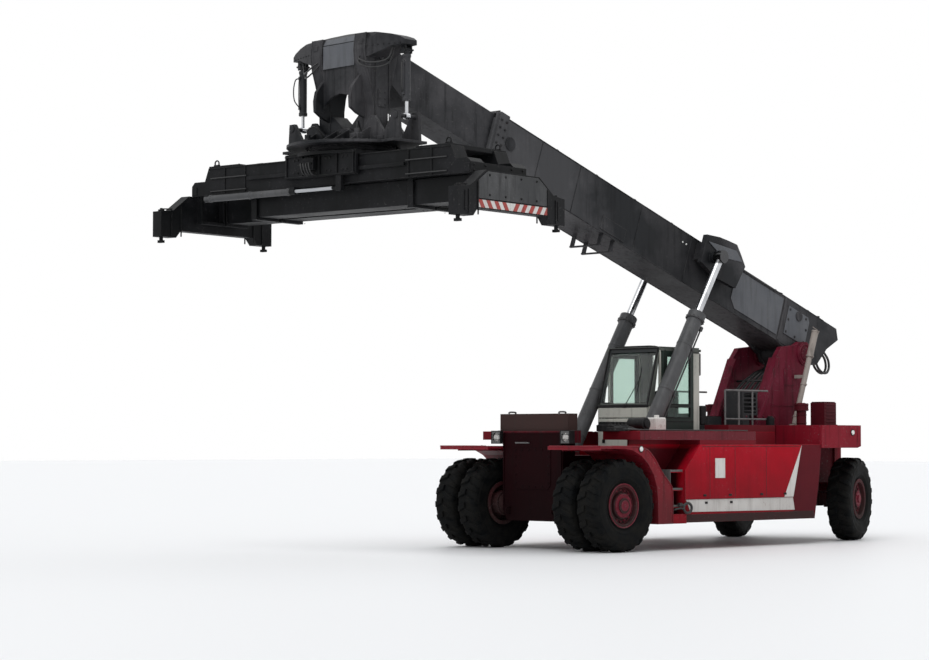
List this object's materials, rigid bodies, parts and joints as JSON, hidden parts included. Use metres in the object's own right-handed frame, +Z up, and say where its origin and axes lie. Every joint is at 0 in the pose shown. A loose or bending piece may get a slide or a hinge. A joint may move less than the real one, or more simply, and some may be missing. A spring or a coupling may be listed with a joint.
{
  "type": "reach stacker",
  "caption": "Container-handling truck with a long telescopic boom over a central cab, twin front wheels, steered rear wheels and a telescopic container spreader on a slewing head.",
  "frame": {"origin": "on the ground under the middle of the whole machine", "axes": "+X towards the spreader, +Y to the driver's left, +Z up"},
  "size_m": [13.0816, 6.2612, 7.7854],
  "materials": {
    "dark_red_paint": "worn",
    "bright_red_paint": "semi gloss, worn",
    "engine_grey": "rough",
    "cooler_black": "matt",
    "cab_cream": "satin",
    "door_green": "satin",
    "cab_glass": "tinted",
    "seat_black": "woven",
    "lamp_white": "glossy",
    "rail_steel": "satin",
    "tyre_black": "matt, dusty",
    "cylinder_grey": "satin, worn",
    "rod_chrome": "polished",
    "boom_grey": "matt, worn",
    "spreader_black": "matt, worn"
  },
  "bodies": {
    "chassis": {"chassis_frame": "dark_red_paint", "drive_axle": "dark_red_paint", "mudguard_left": "bright_red_paint", "mudguard_right": "bright_red_paint", "side_body_left": "bright_red_paint", "side_body_right": "bright_red_paint", "counterweight": "bright_red_paint", "boom_tower": "dark_red_paint", "engine": "engine_grey", "cooler": "cooler_black", "steer_axle": "dark_red_paint", "cab_shell": "cab_cream", "cab_glass": "cab_glass", "cab_seat": "seat_black", "lamps": "lamp_white", "handrails": "rail_steel", "exhaust_pipe": "rail_steel"},
    "cab_door_left": {"cab_door_left": "door_green"},
    "cab_door_right": {"cab_door_right": "door_green"},
    "front_wheels_left": {"front_rims_left": "dark_red_paint", "front_tyres_left": "tyre_black"},
    "knuckle_left": {"knuckle_left": "dark_red_paint"},
    "rear_wheel_left": {"rear_rim_left": "dark_red_paint", "rear_tyre_left": "tyre_black"},
    "lift_barrel_left": {"lift_barrel_left": "cylinder_grey"},
    "lift_rod_left": {"lift_rod_left": "rod_chrome"},
    "tilt_barrel_left": {"tilt_barrel_left": "cylinder_grey"},
    "tilt_rod_left": {"tilt_rod_left": "rod_chrome"},
    "spreader_beam_left": {"spreader_beam_left": "spreader_black"},
    "front_wheels_right": {"front_rims_right": "dark_red_paint", "front_tyres_right": "tyre_black"},
    "knuckle_right": {"knuckle_right": "dark_red_paint"},
    "rear_wheel_right": {"rear_rim_right": "dark_red_paint", "rear_tyre_right": "tyre_black"},
    "lift_barrel_right": {"lift_barrel_right": "cylinder_grey"},
    "lift_rod_right": {"lift_rod_right": "rod_chrome"},
    "tilt_barrel_right": {"tilt_barrel_right": "cylinder_grey"},
    "tilt_rod_right": {"tilt_rod_right": "rod_chrome"},
    "spreader_beam_right": {"spreader_beam_right": "spreader_black"},
    "outer_boom": {"outer_boom": "boom_grey"},
    "inner_boom": {"inner_boom": "boom_grey"},
    "head_yoke": {"head_yoke": "boom_grey"},
    "rotator_frame": {"rotator_frame": "boom_grey"},
    "carriage": {"carriage": "spreader_black"},
    "spreader_frame": {"spreader_frame": "spreader_black"}
  },
  "joints": [
    {"name": "front_wheels_spin_left", "type": "hinge", "parent": "chassis", "child": "front_wheels_left", "pos_m": [0.89819, 1.305, 0.725], "axis": [0, 1, 0], "continuous": true},
    {"name": "steer_left", "type": "hinge", "parent": "chassis", "child": "knuckle_left", "pos_m": [-5.60181, 0.82, 0.725], "axis": [0, 0, 1], "range_deg": [-56, 20]},
    {"name": "rear_wheel_spin_left", "type": "hinge", "parent": "knuckle_left", "child": "rear_wheel_left", "pos_m": [-5.72541, 1.20042, 0.725], "axis": [-0.309, 0.9511, 0], "continuous": true},
    {"name": "door_left", "type": "slide", "parent": "chassis", "child": "cab_door_left", "axis": [-1, 0, 0], "range_m": [0, 0.6]},
    {"name": "front_wheels_spin_right", "type": "hinge", "parent": "chassis", "child": "front_wheels_right", "pos_m": [0.89819, -1.305, 0.725], "axis": [0, 1, 0], "continuous": true},
    {"name": "steer_right", "type": "hinge", "parent": "chassis", "child": "knuckle_right", "pos_m": [-5.60181, -0.82, 0.725], "axis": [0, 0, 1], "range_deg": [-56, 20]},
    {"name": "rear_wheel_spin_right", "type": "hinge", "parent": "knuckle_right", "child": "rear_wheel_right", "pos_m": [-5.4782, -1.20042, 0.725], "axis": [-0.309, 0.9511, 0], "continuous": true},
    {"name": "door_right", "type": "slide", "parent": "chassis", "child": "cab_door_right", "axis": [-1, 0, 0], "range_m": [0, 0.6]},
    {"name": "luff", "type": "hinge", "parent": "chassis", "child": "outer_boom", "pos_m": [-5.30181, 0, 3.28], "axis": [0, -1, 0], "range_deg": [-15.5, 26]},
    {"name": "telescope", "type": "slide", "parent": "outer_boom", "child": "inner_boom", "axis": [0.9432, 0, 0.3322], "range_m": [-0.9, 4.2]},
    {"name": "lift_foot_left", "type": "hinge", "parent": "chassis", "child": "lift_barrel_left", "pos_m": [-0.55181, 0.76, 1.45], "axis": [0, -1, 0], "range_deg": [-5, 5]},
    {"name": "lift_stroke_left", "type": "slide", "parent": "lift_barrel_left", "child": "lift_rod_left", "axis": [-0.5346, 0, 0.8451], "range_m": [-1, 1.65]},
    {"name": "lift_foot_right", "type": "hinge", "parent": "chassis", "child": "lift_barrel_right", "pos_m": [-0.55181, -0.76, 1.45], "axis": [0, -1, 0], "range_deg": [-5, 5]},
    {"name": "lift_stroke_right", "type": "slide", "parent": "lift_barrel_right", "child": "lift_rod_right", "axis": [-0.5346, 0, 0.8451], "range_m": [-1, 1.65]},
    {"name": "head_level", "type": "hinge", "parent": "inner_boom", "child": "head_yoke", "pos_m": [5.00266, 0, 7.43039], "axis": [0, -1, 0], "range_deg": [-26, 15.5]},
    {"name": "side_tilt", "type": "hinge", "parent": "head_yoke", "child": "rotator_frame", "pos_m": [5.00266, 0, 6.25039], "axis": [1, 0, 0], "range_deg": [-4, 4]},
    {"name": "tilt_pin_left", "type": "hinge", "parent": "head_yoke", "child": "tilt_barrel_left", "pos_m": [5.00266, 1.15, 7.43039], "axis": [1, 0, 0], "range_deg": [-3, 3]},
    {"name": "tilt_stroke_left", "type": "slide", "parent": "tilt_barrel_left", "child": "tilt_rod_left", "axis": [0, 0, -1], "range_m": [-0.12, 0.12]},
    {"name": "tilt_pin_right", "type": "hinge", "parent": "head_yoke", "child": "tilt_barrel_right", "pos_m": [5.00266, -1.15, 7.43039], "axis": [1, 0, 0], "range_deg": [-3, 3]},
    {"name": "tilt_stroke_right", "type": "slide", "parent": "tilt_barrel_right", "child": "tilt_rod_right", "axis": [0, 0, -1], "range_m": [-0.12, 0.12]},
    {"name": "slew", "type": "hinge", "parent": "rotator_frame", "child": "carriage", "pos_m": [5.00266, 0, 6.07039], "axis": [0, 0, -1], "range_deg": [-89, 191]},
    {"name": "side_shift", "type": "slide", "parent": "carriage", "child": "spreader_frame", "axis": [-0.108, 0.9942, 0], "range_m": [-0.8, 0.8]},
    {"name": "spread_left", "type": "slide", "parent": "spreader_frame", "child": "spreader_beam_left", "axis": [-0.108, 0.9942, 0], "range_m": [0, 3.05]},
    {"name": "spread_right", "type": "slide", "parent": "spreader_frame", "child": "spreader_beam_right", "axis": [0.108, -0.9942, 0], "range_m": [0, 3.05]}
  ],
  "couplings": [
    {"joint": "steer_right", "follows": "steer_left", "ratio": 1},
    {"joint": "lift_foot_left", "follows": "luff", "ratio": 0.0531},
    {"joint": "lift_stroke_left", "follows": "luff", "m_per_rad": 2.992},
    {"joint": "lift_foot_right", "follows": "luff", "ratio": 0.0531},
    {"joint": "lift_stroke_right", "follows": "luff", "m_per_rad": 2.992},
    {"joint": "head_level", "follows": "luff", "ratio": -1},
    {"joint": "tilt_pin_left", "follows": "side_tilt", "ratio": -0.217},
    {"joint": "tilt_stroke_left", "follows": "side_tilt", "m_per_rad": -1.15},
    {"joint": "tilt_pin_right", "follows": "side_tilt", "ratio": -0.217},
    {"joint": "tilt_stroke_right", "follows": "side_tilt", "m_per_rad": 1.15},
    {"joint": "spread_right", "follows": "spread_left", "ratio": 1}
  ]
}
